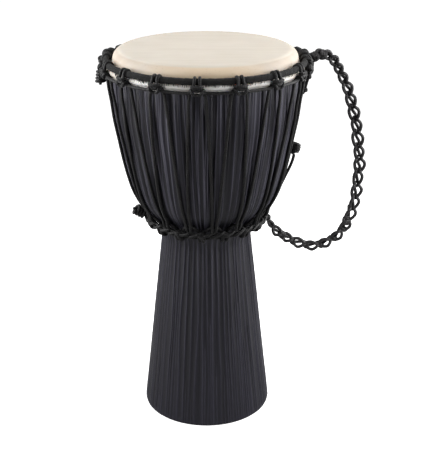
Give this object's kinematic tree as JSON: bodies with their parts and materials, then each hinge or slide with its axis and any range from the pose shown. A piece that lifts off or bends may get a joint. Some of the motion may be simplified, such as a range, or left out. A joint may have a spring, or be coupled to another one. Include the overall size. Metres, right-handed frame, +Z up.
{
  "type": "djembe",
  "caption": "Rope-tuned goblet hand drum with a fluted black wooden shell, laced skin head and a knotted rope carrying handle.",
  "frame": {"origin": "middle of the foot's rim, on the floor", "axes": "+Z up along the drum's axis, +X towards the handle, -Y the front"},
  "size_m": [0.4199, 0.3218, 0.6],
  "materials": {
    "stained_wood": "carved and fluted, stained black, satin",
    "goat_skin": "shaved, matte, pale cream",
    "ring_steel": "bare round bar",
    "black_cloth": "cotton strip wound round the ring",
    "black_rope": "braided cord, slight sheen"
  },
  "bodies": {
    "drum": {"shell": "stained_wood", "goat_skin_head": "goat_skin", "flesh_ring": "ring_steel", "crown_ring": "ring_steel", "crown_ring_wrap": "black_cloth", "bottom_ring": "ring_steel", "bottom_ring_wrap": "black_cloth", "crown_cradle_rope": "black_rope", "bottom_cradle_rope": "black_rope", "lacing_rope": "black_rope", "waist_row_rope": "black_rope", "crown_rope_knots": "black_rope", "crown_rope_coil": "black_rope", "waist_rope_coil": "black_rope", "stopper_knot": "black_rope", "stopper_strand": "black_rope", "handle_top_tie": "black_rope", "handle_tie_tails": "black_rope", "handle_bottom_tie": "black_rope"},
    "handle": {"handle": "black_rope"}
  },
  "joints": [
    {"name": "handle_swing", "type": "hinge", "parent": "drum", "child": "handle", "pos_m": [0.0995, 0.008, 0.3196], "axis": [0.24, 0, 0.9708], "range_deg": [-70, 70]}
  ]
}
